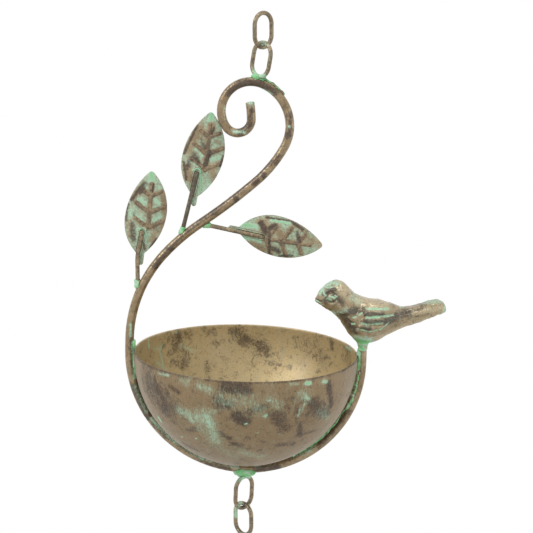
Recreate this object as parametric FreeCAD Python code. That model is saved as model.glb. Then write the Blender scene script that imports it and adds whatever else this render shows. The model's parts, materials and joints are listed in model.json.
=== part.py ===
import FreeCAD, Part
import math
import os

# One section of a rain chain: a bar bent into a scroll carries a bowl, a cast bird and three
# pressed leaves, with a chain link welded on at the top and bottom and a loose link in each.
# Millimetres. The section is laid out with the bowl's axis upright, X to the right, Y away from
# the viewer and Z up from the bowl's mouth, and then leans as it hangs. The origin ends up inside
# the top of the upper loose link, where the link above holds it.

V = FreeCAD.Vector
HERE = V(0, 0, 0)
UP = V(0, 0, 1)
AWAY = V(0, 1, 0)
TOWARDS = V(0, -1, 0)

# The section hangs with the bird's side low.
lean = 1.6

# Bowl, spun from sheet
bowl_radius = 59.7
bowl_lip = 1.3
bowl_wall = 0.9

# Scroll rod, bent from one bar. It starts under the bird and goes round the bowl in two quarter
# bends, then up its left side and through the bending list into the curl.
rod_diameter = 4.7
rim_gap_right = 0.02
rim_gap_left = 0.25
bottom_gap = 2.0
bottom_offset = 1.9
rod_end_height = 2.5
side_run_top = 5.0
# Name of the bend, its radius, then its turn in degrees, to the left if positive.
scroll_bends = (
    ("hip", 71.2, -40.9),
    ("waist", 111.0, -13.5),
    ("back", 316.0, 6.5),
    ("neck", 69.4, 19.4),
    ("shoulder", 23.8, 96.0),
    ("crown", 15.3, 146.9),
    ("curl", 7.15, 148.0),
    ("tip", 67.4, 7.6),
)

# Chain links, all bent from the same wire
link_wire = 2.3
link_length = 20.0
link_width = 14.5
link_play = 0.15
link_turn = 45.0
# The fixed links: where they stand on the rod and how far they lean towards the bird.
top_link_turn = 11.0
top_link_sink = 0.4
top_link_lean = 7.6
bottom_link_offset = -1.0
bottom_link_gap = 1.2
bottom_link_lean = 1.0

# Leaves, pressed from sheet over one die
leaf_length = 46.5
leaf_width = 21.6
leaf_belly_left = 19.5
leaf_belly_right = 24.0
leaf_sheet = 0.9
leaf_cup_radius = 36.0
leaf_tip_radius = 1.6
vein_height = 0.55
vein_width = 1.9
vein_end_width = 1.2
# Middle vein from one point to another, as sideways and up from the leaf's base.
midrib_foot = (2.2, 15.6)
midrib_tip = (0.9, 39.5)
# Pairs of side veins: height of the root, then length.
side_veins = ((16.0, 8.6), (24.0, 8.8), (33.0, 5.8))
side_vein_angle = 61.0
seat_depth = 14.0
seat_lip_width = 0.9
seat_lip_height = 0.7
seat_side_gap = 0.02
tongue_length = 4.6
tongue_width = 2.6

# Leaf stems, each coped onto the rod. Each row: name, distance along the rod from the top of the
# run beside the bowl, stem runs as (angle from upright, length), radius between the runs, the
# leaf's angle from upright and the stem's place sideways on the leaf.
stem_wire = 2.3
leaves = (
    ("left", 24.4, ((-1.8, 21.6), (10.3, 13.8)), 30.0, 6.8, -0.6),
    ("middle", 63.4, ((12.6, 36.7),), 0.0, 9.1, -1.6),
    ("right", 76.6, ((101.0, 33.6),), 0.0, 99.6, 1.3),
)

# Bird, cast with its own foot. Each station along the body: distance behind the foot's axis, top
# and bottom above the rod's end, half width, and how square the section is (2 is an ellipse).
bird_stations = (
    (-26.6, 27.5, 26.4, 0.7, 2.0),
    (-24.6, 30.6, 24.7, 3.0, 2.0),
    (-20.5, 35.6, 22.6, 6.6, 2.0),
    (-15.5, 37.9, 19.2, 8.6, 2.0),
    (-10.5, 36.3, 13.2, 9.4, 2.0),
    (-5.0, 30.8, 6.4, 10.6, 2.0),
    (2.0, 28.5, 4.6, 11.8, 2.1),
    (9.0, 27.5, 7.0, 11.4, 2.2),
    (16.0, 25.3, 11.2, 8.8, 2.3),
    (22.0, 24.4, 14.0, 6.6, 2.6),
    (32.0, 27.1, 17.6, 5.4, 3.0),
    (39.8, 28.3, 21.2, 5.0, 3.4),
    (42.1, 27.2, 22.2, 4.7, 3.4),
    (42.9, 25.6, 23.0, 4.0, 3.4),
)
SECTION_POINTS = 20
bird_foot_waist = 5.4
bird_foot_waist_height = 2.6
bird_foot_spread = 11.2
bird_foot_rise = 6.5
# The folded wing stands out from the body inside this outline, as distance behind the foot's axis
# and height above the rod's end.
wing_rise = 0.7
wing_outline = (
    (-3.8, 14.2),
    (2.3, 12.6),
    (8.8, 14.8),
    (13.2, 18.4),
    (16.2, 22.4),
    (12.6, 25.0),
    (5.0, 25.6),
    (-2.4, 24.6),
    (-5.0, 20.0),
)
# Feather bars that stand out further on the wing: front end, rear end, and the width at each.
feather_rise = 1.5
feathers = (
    ((0.6, 23.0), (13.8, 23.6), 2.7, 1.6),
    ((-0.7, 19.0), (12.4, 19.8), 2.5, 2.3),
    ((-2.4, 15.4), (8.8, 15.9), 2.1, 1.5),
)
eye_place = (-18.1, 30.1)
eye_radius = 1.7
eye_depth = 1.4

# Weld beads
rim_bead_radius = 1.8
rim_bead_top = 3.2
rim_bead_bottom = -14.0
seam_bead_radius = 2.5
seam_bead_offset = 0.5
seam_bead_rise = 0.9
seam_bead_turn = 24.0
seam_tail_radius = 1.2
seam_tail_offset = -0.2
seam_tail_turn = 64.0
link_bead_radius = 1.9
top_bead_half_length = 2.2
bottom_bead_half_length = 2.6
collar_radius = 2.9
collar_rise = 1.0
collar_half_length = 3.4
runout_radius = 0.85
runout_turn = 28.0
stem_bead_radius = 1.7
stem_bead_length = 2.6


def flat(x, z):
    """A point in the rod's own plane."""
    return V(x, 0, z)


def heading_vector(degrees):
    """A direction in the rod's plane, from +X towards +Z."""
    turn = math.radians(degrees)
    return flat(math.cos(turn), math.sin(turn))


def upright_vector(degrees):
    """A direction in the rod's plane, from +Z towards +X."""
    return heading_vector(90.0 - degrees)


def one_solid(shape):
    """The main solid of a shape, without the crumbs that a cut can leave."""
    return max(shape.Solids, key=lambda solid: solid.Volume)


def disc(radius, centre, normal):
    """A round face."""
    return Part.Face(Part.Wire(Part.makeCircle(radius, centre, normal)))


def prism(wire, reach):
    """A closed wire in the rod's plane, extruded both ways along Y."""
    face = Part.Face(wire)
    face.translate(TOWARDS * reach)
    return face.extrude(AWAY * 2 * reach)


def bar_outline(first, last, first_width, last_width):
    """A tapered bar with round ends between two (x, z) points, as a wire."""
    a = flat(*first)
    b = flat(*last)
    along = (b - a).normalize()
    across = V(-along.z, 0, along.x)
    a_half = across * (first_width / 2)
    b_half = across * (last_width / 2)
    edges = [
        Part.LineSegment(a + a_half, b + b_half).toShape(),
        Part.Arc(b + b_half, b + along * (last_width / 2), b - b_half).toShape(),
        Part.LineSegment(b - b_half, a - a_half).toShape(),
        Part.Arc(a - a_half, a - along * (first_width / 2), a + a_half).toShape(),
    ]
    return Part.Wire(edges)


def capsule(a, b, radius):
    """A round-ended bead from a to b."""
    middle = Part.makeCylinder(radius, (b - a).Length, a, b - a)
    return middle.fuse([Part.makeSphere(radius, a), Part.makeSphere(radius, b)])


class BentWire:
    """Straight runs and named bends laid end to end in the plane y = 0."""

    def __init__(self, start, heading):
        self.legs = []
        self.point = start
        self.heading = heading

    def run(self, length):
        """Carry on straight."""
        self.legs.append(("run", self.point, self.heading, length, 0.0, 0.0))
        self.point = self.point + heading_vector(self.heading) * length

    def bend(self, name, radius, turn):
        """Turn by an angle in degrees, to the left if positive."""
        length = radius * math.radians(abs(turn))
        self.legs.append((name, self.point, self.heading, length, radius, turn))
        side = math.copysign(90.0, turn)
        centre = self.point + heading_vector(self.heading + side) * radius
        self.heading = self.heading + turn
        self.point = centre - heading_vector(self.heading + side) * radius

    def length_before(self, bend):
        """Length of wire before the bend of that name."""
        total = 0.0
        for name, start, heading, length, radius, turn in self.legs:
            if name == bend:
                break
            total = total + length
        return total

    def at(self, distance):
        """The point and heading that far along the wire."""
        for name, start, heading, length, radius, turn in self.legs:
            if distance <= length:
                break
            distance = distance - length
        if turn == 0.0:
            return start + heading_vector(heading) * distance, heading
        here = heading + turn * distance / length
        side = math.copysign(90.0, turn)
        centre = start + heading_vector(heading + side) * radius
        return centre - heading_vector(here + side) * radius, here

    def solid(self, diameter):
        """Round wire of that diameter along every leg, as one solid."""
        pieces = []
        for name, start, heading, length, radius, turn in self.legs:
            along = heading_vector(heading)
            section = disc(diameter / 2, start, along)
            if turn == 0.0:
                pieces.append(section.extrude(along * length))
                continue
            centre = start + heading_vector(heading + math.copysign(90.0, turn)) * radius
            axis = TOWARDS if turn > 0 else AWAY
            pieces.append(section.revolve(centre, axis, abs(turn)))
        return one_solid(pieces[0].multiFuse(pieces[1:]).removeSplitter())


def rod_path():
    """The bar's middle line, from the bird's foot round the bowl and up to the curl's tip."""
    half = rod_diameter / 2
    right = bowl_radius + rim_gap_right + half
    left = -(bowl_radius + rim_gap_left + half)
    bottom = -(bowl_lip + bowl_radius + bottom_gap + half)
    right_radius = right - bottom_offset
    left_radius = bottom_offset - left
    path = BentWire(flat(right, rod_end_height), 270.0)
    path.run(rod_end_height - bottom - right_radius)
    path.bend("under right", right_radius, -90.0)
    path.bend("under left", left_radius, -90.0)
    path.run(side_run_top - path.point.z)
    for name, radius, turn in scroll_bends:
        path.bend(name, radius, turn)
    return path


def quarter_arc(radius, base):
    """A quarter circle about (0, base), from the bottom out to the side."""
    slant = radius * math.sqrt(0.5)
    return Part.Arc(flat(0, base - radius), flat(slant, base - slant), flat(radius, base)).toShape()


def make_bowl():
    """A half sphere with a short straight lip and a rounded rim edge."""
    inner = bowl_radius - bowl_wall
    base = -bowl_lip
    edge = -bowl_wall / 2
    edges = [
        quarter_arc(bowl_radius, base),
        Part.LineSegment(flat(bowl_radius, base), flat(bowl_radius, edge)).toShape(),
        Part.Arc(flat(bowl_radius, edge), flat(bowl_radius + edge, 0), flat(inner, edge)).toShape(),
        Part.LineSegment(flat(inner, edge), flat(inner, base)).toShape(),
        quarter_arc(inner, base),
        Part.LineSegment(flat(0, base - inner), flat(0, base - bowl_radius)).toShape(),
    ]
    return Part.Face(Part.Wire(Part.__sortEdges__(edges))).revolve(HERE, UP, 360)


def make_link(turn, tilt, centre):
    """A plain oval link, turned about its long axis, tilted towards +X, then placed."""
    radius = (link_width - link_wire) / 2
    straight = link_length - link_width
    path = BentWire(flat(radius, -straight / 2), 90.0)
    for _ in range(2):
        path.run(straight)
        path.bend("end", radius, 180.0)
    link = path.solid(link_wire)
    link.rotate(HERE, UP, turn)
    link.rotate(HERE, AWAY, tilt)
    link.translate(centre)
    return link


def link_peak(centre, turn, tilt, side):
    """The highest (side 1) or lowest (side -1) point on the middle line of a placed link."""
    upright = upright_vector(tilt)
    across = FreeCAD.Rotation(AWAY, tilt).multVec(FreeCAD.Rotation(UP, turn).multVec(V(1, 0, 0)))
    steepest = (upright * upright.z + across * across.z).normalize()
    radius = (link_width - link_wire) / 2
    bend_centre = centre + upright * (side * (link_length - link_width) / 2)
    return bend_centre + steepest * (side * radius)


def leaf_side(side, belly):
    """One side of the leaf: two arcs that meet at the belly, in line with the leaf there."""
    half = leaf_width / 2
    arcs = []
    for end in (0.0, leaf_length):
        rise = end - belly
        radius = (half * half + rise * rise) / (2 * half)
        sweep = math.asin(rise / radius) / 2
        middle = flat(side * (half - radius + radius * math.cos(sweep)), belly + radius * math.sin(sweep))
        arcs.append(Part.Arc(flat(0, end), middle, flat(side * half, belly)).toShape())
    return arcs


def leaf_prism(reach):
    """The leaf's pointed outline with a rounded tip, base at the origin, extruded along Y."""
    edges = leaf_side(1, leaf_belly_right) + leaf_side(-1, leaf_belly_left)
    almond = prism(Part.Wire(Part.__sortEdges__(edges)), reach)
    tip_edges = [edge for edge in almond.Edges if abs(edge.CenterOfMass.z - leaf_length) < 0.01]
    return almond.makeFillet(leaf_tip_radius, tip_edges)


def cup_layer(low, high):
    """A layer over the leaf's cupped front, between two heights above it."""
    foot = V(0, leaf_cup_radius, -2 * tongue_length)
    tall = leaf_length + 4 * tongue_length
    outer = Part.makeCylinder(leaf_cup_radius + high, tall, foot, UP)
    inner = Part.makeCylinder(leaf_cup_radius + low, tall, foot, UP)
    front = Part.makeBox(2 * leaf_width, leaf_cup_radius, tall)
    front.translate(V(-leaf_width, -leaf_cup_radius / 2, foot.z))
    return outer.cut(inner).common(front)


def vein_bars(reach):
    """The middle vein and the pairs of side veins, as one extruded pattern."""
    bars = [prism(bar_outline(midrib_foot, midrib_tip, vein_width, vein_end_width), reach)]
    slope = (midrib_tip[0] - midrib_foot[0]) / (midrib_tip[1] - midrib_foot[1])
    for height, length in side_veins:
        root = flat(midrib_foot[0] + slope * (height - midrib_foot[1]), height)
        for side in (-1, 1):
            end = root + upright_vector(side * side_vein_angle) * length
            outline = bar_outline((root.x, root.z), (end.x, end.z), vein_width, vein_end_width)
            bars.append(prism(outline, reach))
    return bars[0].multiFuse(bars[1:])


def make_leaf(seat_offset, seat_angle):
    """A pressed leaf: cupped blade, raised veins, a lip round the stem's seat and a tongue."""
    reach = leaf_cup_radius / 2
    almond = leaf_prism(reach)
    tongue_x = seat_offset - math.copysign(tongue_width / 2, seat_offset)
    tongue_foot = (tongue_x, tongue_width / 2 - tongue_length)
    tongue = prism(bar_outline(tongue_foot, (tongue_x, tongue_width), tongue_width, tongue_width), reach)
    blade = cup_layer(-leaf_sheet, 0.0).common(almond.fuse(tongue))
    half_sheet = -leaf_sheet / 2
    veins = cup_layer(half_sheet, vein_height).common(vein_bars(reach).common(almond))

    slot = stem_wire + 2 * seat_side_gap
    rim = slot + 2 * seat_lip_width
    run = upright_vector(seat_angle) * leaf_length
    top = (seat_offset, seat_depth)
    foot = (seat_offset - run.x, seat_depth - run.z)
    inside = prism(bar_outline(foot, top, slot, slot), reach)
    outside = prism(bar_outline(foot, top, rim, rim), reach).common(almond)
    lip = cup_layer(half_sheet, seat_lip_height).common(outside)
    channel = cup_layer(0.0, stem_wire).common(inside)
    return one_solid(blade.fuse([veins, lip]).cut(channel).removeSplitter())


def stem_path(foot, runs, bend_radius):
    """A stem's middle line from the rod's middle line outwards, with its bend if it has one."""
    path = BentWire(foot, 90.0 - runs[0][0])
    if len(runs) == 1:
        path.run(runs[0][1])
        return path
    turn = runs[0][0] - runs[1][0]
    taken = bend_radius * math.tan(math.radians(abs(turn)) / 2)
    path.run(runs[0][1] - taken)
    path.bend("knee", bend_radius, turn)
    path.run(runs[1][1] - taken)
    return path


def make_leaf_set(path, rod, row):
    """One leaf, its stem and the bead at the stem's foot."""
    name, distance, runs, bend_radius, leaf_angle, seat_offset = row
    foot, rod_heading = path.at(path.length_before("hip") + distance)
    wire = stem_path(foot, runs, bend_radius)
    whole_stem = wire.solid(stem_wire)

    seat_angle = runs[-1][0] - leaf_angle
    base_offset = seat_offset - math.tan(math.radians(seat_angle)) * seat_depth
    nearest = min(abs(seat_offset), abs(base_offset))
    stand = math.sqrt((leaf_cup_radius + stem_wire / 2) ** 2 - nearest ** 2) - leaf_cup_radius
    leaf = make_leaf(seat_offset, seat_angle)
    leaf.translate(V(-seat_offset, stand, -seat_depth))
    leaf.rotate(HERE, AWAY, leaf_angle)
    leaf.translate(wire.point)

    out = upright_vector(runs[0][0])
    slant = math.radians(90.0 - runs[0][0] - rod_heading)
    exit_point = foot + out * (rod_diameter / 2 / abs(math.sin(slant)))
    half_bead = out * (stem_bead_length / 2)
    bead = capsule(exit_point - half_bead, exit_point + half_bead, stem_bead_radius)
    return {
        name + "_leaf": leaf,
        name + "_leaf_stem": one_solid(whole_stem.cut(rod)),
        name + "_stem_weld": one_solid(bead.cut(rod).cut(whole_stem)),
    }


def bird_section(station, widen):
    """One closed section of the bird's body, square to its length."""
    along, top, bottom, half_width, square = station
    half_height = (top - bottom) / 2
    points = []
    for step in range(SECTION_POINTS):
        angle = 2 * math.pi * step / SECTION_POINTS
        sideways = math.copysign(abs(math.cos(angle)) ** (2 / square), math.cos(angle))
        upwards = math.copysign(abs(math.sin(angle)) ** (2 / square), math.sin(angle))
        points.append(V(along, sideways * (half_width + widen), bottom + half_height * (1 + upwards)))
    curve = Part.BSplineCurve()
    curve.interpolate(Points=points, PeriodicFlag=True)
    return Part.Wire(curve.toShape())


def bird_body(widen):
    """The bird's body lofted through its stations, widened by that much on each side."""
    return Part.makeLoft([bird_section(row, widen) for row in bird_stations], True, False)


def make_bird(seat):
    """The cast bird with folded wings, eyes and the foot that stands on the rod's end."""
    reach = max(row[3] for row in bird_stations) + 2 * feather_rise
    edge = Part.BSplineCurve()
    edge.interpolate(Points=[flat(*point) for point in wing_outline], PeriodicFlag=True)
    wings = bird_body(wing_rise).common(prism(Part.Wire(edge.toShape()), reach))
    bars = [
        prism(bar_outline(front, rear, front_width, rear_width), reach)
        for front, rear, front_width, rear_width in feathers
    ]
    plumes = bird_body(feather_rise).common(bars[0].multiFuse(bars[1:]))
    rings = (
        (rod_diameter, 0.0),
        (bird_foot_waist, bird_foot_waist_height),
        (bird_foot_spread, bird_foot_rise),
    )
    circles = [Part.Wire(Part.makeCircle(width / 2, flat(0, rise), UP)) for width, rise in rings]
    foot = Part.makeLoft(circles, True, False)
    head = min(bird_stations, key=lambda row: abs(row[0] - eye_place[0]))
    eyes = [
        Part.makeSphere(eye_radius, V(eye_place[0], side * (head[3] - eye_depth), eye_place[1]))
        for side in (-1, 1)
    ]
    bird = one_solid(bird_body(0.0).multiFuse([foot, wings, plumes] + eyes))
    bird.translate(seat)
    return bird


def make_bowl_beads(path, rod, bowl, bird):
    """Beads that hold the bowl: one at the left of its rim and a seam that thins down the right."""
    left = -(bowl_radius + rim_gap_left / 2)
    rim_bead = capsule(flat(left, rim_bead_bottom), flat(left, rim_bead_top), rim_bead_radius)
    bend_start = path.at(path.length_before("under right"))[0]
    top = flat(bowl_radius + rim_gap_right + seam_bead_offset, seam_bead_rise)
    line = BentWire(top, 270.0)
    line.run(top.z - bend_start.z)
    line.bend("seam", top.x - bottom_offset, -seam_bead_turn)
    ends = [Part.makeSphere(seam_bead_radius, end) for end in (top, line.point)]
    tail = BentWire(flat(bowl_radius + rim_gap_right + seam_tail_offset, bend_start.z), 270.0)
    tail.bend("tail", tail.point.x - bottom_offset, -seam_tail_turn)
    thin_end = Part.makeSphere(seam_tail_radius, tail.point)
    seam = line.solid(2 * seam_bead_radius).multiFuse(ends + [tail.solid(2 * seam_tail_radius), thin_end])
    middle = flat(0, -bowl_lip)
    mouth = Part.makeCylinder(bowl_radius - bowl_wall / 2, bowl_lip + 4 * seam_bead_radius, middle, UP)
    rim_bead = rim_bead.cut(rod).cut(bowl).cut(mouth)
    seam = seam.cut(rod).cut(bowl).cut(bird).cut(mouth)
    return one_solid(rim_bead), one_solid(seam)


def make_top(path, rod):
    """The link on the scroll's crown and its bead, which runs out along the shoulder bend."""
    radii = {name: radius for name, radius, turn in scroll_bends}
    start = path.length_before("crown")
    foot, heading = path.at(start + radii["crown"] * math.radians(top_link_turn))
    along = heading_vector(heading)
    skin = foot + heading_vector(heading - 90.0) * (rod_diameter / 2)
    centre = skin + upright_vector(top_link_lean) * (link_length / 2 - top_link_sink)
    link = one_solid(make_link(-link_turn, top_link_lean, centre).cut(rod))
    half_bead = along * top_bead_half_length
    bead = capsule(skin - half_bead, skin + half_bead, link_bead_radius)

    shoulder_end, shoulder_heading = path.at(start)
    outward = heading_vector(shoulder_heading - 90.0)
    hub = shoulder_end - outward * radii["shoulder"]
    shoulder_skin = shoulder_end + outward * (rod_diameter / 2)
    section = disc(runout_radius, shoulder_skin, heading_vector(shoulder_heading))
    bead = bead.fuse(section.revolve(hub, AWAY, runout_turn)).cut(rod).cut(link)
    return link, one_solid(bead), centre


def make_bottom(path, rod):
    """The link under the bowl and its bead, with a collar that wraps the bar's lower half."""
    lowest = path.at(path.length_before("under left"))[0]
    skin = lowest + flat(bottom_link_offset, -rod_diameter / 2)
    centre = skin - UP * bottom_link_gap - upright_vector(bottom_link_lean) * (link_length / 2)
    link = one_solid(make_link(link_turn, bottom_link_lean, centre).cut(rod))
    middle = skin - UP * (bottom_link_gap / 2)
    half_bead = flat(bottom_bead_half_length, 0)
    bead = capsule(middle - half_bead, middle + half_bead, link_bead_radius)
    collar_middle = skin + UP * collar_rise
    half_collar = flat(collar_half_length, 0)
    collar = capsule(collar_middle - half_collar, collar_middle + half_collar, collar_radius)
    return link, one_solid(bead.fuse(collar).cut(rod).cut(link)), centre


def welded_pieces():
    """Every piece that is welded up into the section, and the middles of its two fixed links."""
    path = rod_path()
    rod = path.solid(rod_diameter)
    bowl = make_bowl()
    bird = make_bird(flat(bowl_radius + rim_gap_right + rod_diameter / 2, rod_end_height))
    rim_bead, seam_bead = make_bowl_beads(path, rod, bowl, bird)
    top_link, top_bead, top_centre = make_top(path, rod)
    bottom_link, bottom_bead, bottom_centre = make_bottom(path, rod)
    pieces = {
        "scroll_rod": rod,
        "bowl": bowl,
        "bird": bird,
        "left_rim_weld": rim_bead,
        "right_rim_weld": seam_bead,
        "top_welded_link": top_link,
        "top_weld": top_bead,
        "bottom_welded_link": bottom_link,
        "bottom_weld": bottom_bead,
    }
    for row in leaves:
        pieces.update(make_leaf_set(path, rod, row))
    return pieces, top_centre, bottom_centre


def build():
    """Every piece under its own name, hanging, with the origin in the upper loose link's eye."""
    pieces, top_centre, bottom_centre = welded_pieces()
    for shape in pieces.values():
        shape.rotate(HERE, AWAY, lean)

    hang = FreeCAD.Rotation(AWAY, lean)
    drop = UP * (link_wire + link_play - (link_length - link_wire) / 2)
    top_peak = link_peak(hang.multVec(top_centre), -link_turn, top_link_lean + lean, 1)
    low_peak = link_peak(hang.multVec(bottom_centre), link_turn, bottom_link_lean + lean, -1)
    pieces["top_loose_link"] = make_link(link_turn, 0.0, top_peak - drop)
    pieces["bottom_loose_link"] = make_link(-link_turn, 0.0, low_peak + drop)

    eye = top_peak - drop + UP * (link_length / 2 - link_wire)
    for shape in pieces.values():
        shape.translate(-eye)
    print("section hangs on", top_peak - eye, "lower link hangs on", low_peak - eye)
    print("middle of the bowl's mouth", -eye)
    return pieces


os.makedirs("parts", exist_ok=True)
for node, shape in build().items():
    shape.exportStep("parts/" + node + ".step")
    print(node, len(shape.Solids), round(shape.Volume, 2), shape.isValid())
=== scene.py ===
import json
import math

import bpy
import numpy as np
from bpy.props import FloatProperty, FloatVectorProperty, PointerProperty
from mathutils import Matrix, Vector, noise


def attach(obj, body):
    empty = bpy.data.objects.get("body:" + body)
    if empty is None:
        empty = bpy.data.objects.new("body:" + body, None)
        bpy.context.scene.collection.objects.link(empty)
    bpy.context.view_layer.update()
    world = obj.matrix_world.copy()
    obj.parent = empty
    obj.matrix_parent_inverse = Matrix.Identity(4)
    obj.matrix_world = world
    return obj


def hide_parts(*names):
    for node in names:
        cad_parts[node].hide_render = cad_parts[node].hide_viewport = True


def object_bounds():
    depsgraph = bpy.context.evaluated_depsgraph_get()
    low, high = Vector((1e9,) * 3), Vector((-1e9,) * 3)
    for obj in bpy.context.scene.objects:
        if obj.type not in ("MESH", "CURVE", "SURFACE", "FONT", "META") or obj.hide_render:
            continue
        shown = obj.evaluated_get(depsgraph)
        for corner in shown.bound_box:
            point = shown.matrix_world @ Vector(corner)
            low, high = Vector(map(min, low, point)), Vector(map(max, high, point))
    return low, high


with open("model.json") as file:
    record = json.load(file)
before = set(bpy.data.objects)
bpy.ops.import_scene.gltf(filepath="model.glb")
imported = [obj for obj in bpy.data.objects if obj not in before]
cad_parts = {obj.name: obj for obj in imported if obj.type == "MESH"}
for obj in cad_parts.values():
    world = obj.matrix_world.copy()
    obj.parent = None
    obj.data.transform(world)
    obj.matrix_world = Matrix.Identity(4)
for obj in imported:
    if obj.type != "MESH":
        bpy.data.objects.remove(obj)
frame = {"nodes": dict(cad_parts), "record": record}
cad_low, cad_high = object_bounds()

bl_info = {
    "name": "Rain chain section",
    "version": (1, 0, 0),
    "blender": (4, 5, 0),
    "location": "View3D > Sidebar > Rain chain",
    "description": "Finishes a rain chain section: scroll, bowl, bird, leaves and links in weathered paint",
    "category": "Object",
}

MM = 0.001

# The welded section leans as it hangs. Places are in the row frame, in millimetres.
LEAN = 1.6
BOWL_MOUTH = (-9.139, -0.491, -178.777)
BIRD_SEAT = (52.976, -0.491, -178.011)
# Each leaf: the middle of its base and its angle from upright.
LEAF_PLACES = {
    "left": ((-65.150, 0.654, -127.073), 8.4),
    "middle": ((-35.620, 0.625, -95.630), 10.7),
    "right": ((-13.834, 0.647, -112.440), 101.2),
}

# Bowl, as it is spun
BOWL_RADIUS = 59.7
BOWL_LIP = 1.3
BOWL_WALL = 0.9
BOWL_ROUND_STEPS = 320
BOWL_FALL_STEPS = 96
BOWL_EDGE_STEPS = 6

# Leaf veins on the blade: sideways and up from the leaf's base.
MIDRIB = ((2.2, 15.6), (0.9, 39.5))
SIDE_VEINS = ((16.0, 8.6), (24.0, 8.8), (33.0, 5.8))
SIDE_VEIN_ANGLE = 61.0

# Strokes of the brush and rubbing marks, and some painted highlights and shade. Each is x1, z1, x2, z2,
# half width, strength.
# On the rod and the links they are across and up in the row frame.
ROD_GREEN = (
    (-19.0, -48.0, -18.0, -53.5, 1.2, 0.7),
    (-15.5, -60.0, -10.0, -60.5, 0.9, 0.7),
    (-6.5, -44.5, -6.5, -44.5, 1.8, 0.9),
    (0.5, -39.0, 4.0, -40.5, 1.0, 0.7),
    (13.5, -57.5, 13.5, -57.5, 0.8, 0.9),
    (-70.5, -163.0, -70.5, -169.5, 0.8, 0.7),
    (-69.0, -173.5, -68.5, -192.5, 1.2, 0.9),
    (-68.0, -198.0, -62.5, -211.0, 1.8, 0.45),
    (-60.0, -215.5, -48.5, -227.5, 1.1, 0.65),
    (-48.5, -227.5, -33.0, -237.5, 1.1, 0.65),
    (-33.0, -237.5, -14.0, -242.5, 1.2, 0.6),
    (-4.0, -242.0, 24.0, -234.0, 1.2, 0.6),
    (24.0, -234.0, 44.5, -209.5, 1.1, 0.65),
    (44.5, -209.5, 50.5, -189.0, 1.1, 0.65),
)
ROD_DARK = (
    (13.0, -62.5, 13.0, -61.0, 1.6, 0.8),
    (7.0, -76.5, 7.0, -76.5, 2.0, 0.7),
    (-3.5, -86.0, -4.5, -87.0, 1.5, 1.1),
    (0.0, -82.5, 0.5, -83.5, 1.5, 1.1),
    (-15.0, -95.0, -14.5, -96.0, 1.6, 1.0),
    (-25.5, -102.5, -27.0, -103.0, 1.6, 1.0),
    (-32.0, -106.5, -33.5, -107.5, 1.4, 0.8),
    (-48.5, -122.0, -50.0, -122.5, 1.6, 1.0),
    (-55.0, -129.5, -57.0, -132.0, 1.6, 1.0),
    (-12.5, -60.5, -7.0, -56.0, 1.8, 0.9),
    (-7.0, -56.0, -6.0, -49.0, 1.2, 0.7),
    (-17.0, -39.0, -12.0, -35.5, 2.2, 0.9),
    (-12.0, -35.5, -2.0, -35.0, 2.2, 1.0),
    (-2.0, -35.0, 6.0, -39.5, 2.0, 0.9),
    (14.5, -50.0, 13.5, -62.0, 1.2, 0.7),
    # Along the diagonal's upper edge: dark mottling and a painted dark reflection beside its highlight.
    (8.0, -73.0, -14.0, -93.0, 1.1, 0.7),
    (-14.0, -93.0, -42.0, -114.5, 1.1, 0.65),
    (-42.0, -114.5, -58.0, -132.0, 1.1, 0.7),
    (-71.0, -170.0, -69.5, -192.0, 1.2, 0.5),
    (-68.5, -198.0, -62.0, -214.0, 2.4, 1.0),
    (-62.0, -214.0, -51.5, -226.0, 1.6, 0.65),
    (-51.5, -226.0, -27.0, -242.5, 1.4, 0.6),
    (30.0, -231.0, 46.0, -211.0, 1.6, 0.6),
    (-4.0, -244.0, 8.0, -243.0, 1.6, 0.9),
    (-26.0, -242.0, -18.0, -244.0, 1.4, 0.7),
)
LINK_GREEN = (
    (-1.0, -12.5, 1.0, -15.0, 1.6, 0.6),
    (-4.0, -29.0, 0.0, -31.0, 1.8, 0.9),
    (-15.0, -249.0, -8.0, -249.0, 1.6, 0.8),
    (-13.0, -264.0, -12.0, -264.0, 1.6, 0.6),
    (-15.0, -268.0, -15.0, -273.0, 0.9, 0.9),
)
# Where the weld beads show bare metal
BARE_BEADS = (
    (6.0, -36.0, 12.0, -42.0, 3.0, 0.6),
    (51.0, -189.0, 48.0, -201.0, 0.7, 1.0),
    (48.0, -201.0, 43.0, -210.5, 0.8, 1.1),
    (43.0, -210.5, 37.0, -219.0, 0.8, 1.2),
    (37.0, -219.0, 29.5, -226.5, 0.8, 1.2),
    (29.5, -226.5, 21.0, -232.5, 0.8, 1.0),
)
# On the bird they are behind the foot's axis and above the rod's end.
BIRD_EYE = (-18.1, 30.1)
BIRD_FEATHER_LINES = (
    (0.8, 25.2, 12.4, 25.0, 0.7, 1.0),
    (0.5, 20.9, 15.0, 22.0, 0.7, 1.0),
    (-1.9, 17.6, 1.0, 17.2, 0.7, 1.0),
    (1.0, 17.2, 9.6, 17.9, 0.65, 0.95),
    (-3.8, 14.2, 2.3, 12.9, 0.7, 1.0),
    (2.3, 12.9, 8.8, 14.4, 0.65, 0.95),
    (8.8, 14.4, 13.4, 18.4, 0.55, 0.85),
    (-6.6, 20.2, -5.2, 20.9, 0.6, 1.0),
    (-6.8, 16.6, -5.6, 17.0, 0.6, 1.0),
    (-3.2, 22.2, -1.8, 23.0, 0.6, 1.0),
)
BIRD_SHARP_LINES = (
    (-27.4, 27.3, -22.8, 27.0, 0.4, 1.0),
    (15.0, 20.4, 31.0, 24.6, 0.5, 0.6),
    (20.0, 18.4, 40.0, 23.6, 0.5, 0.4),
    (24.0, 23.2, 40.0, 27.0, 0.5, 0.5),
)
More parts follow.
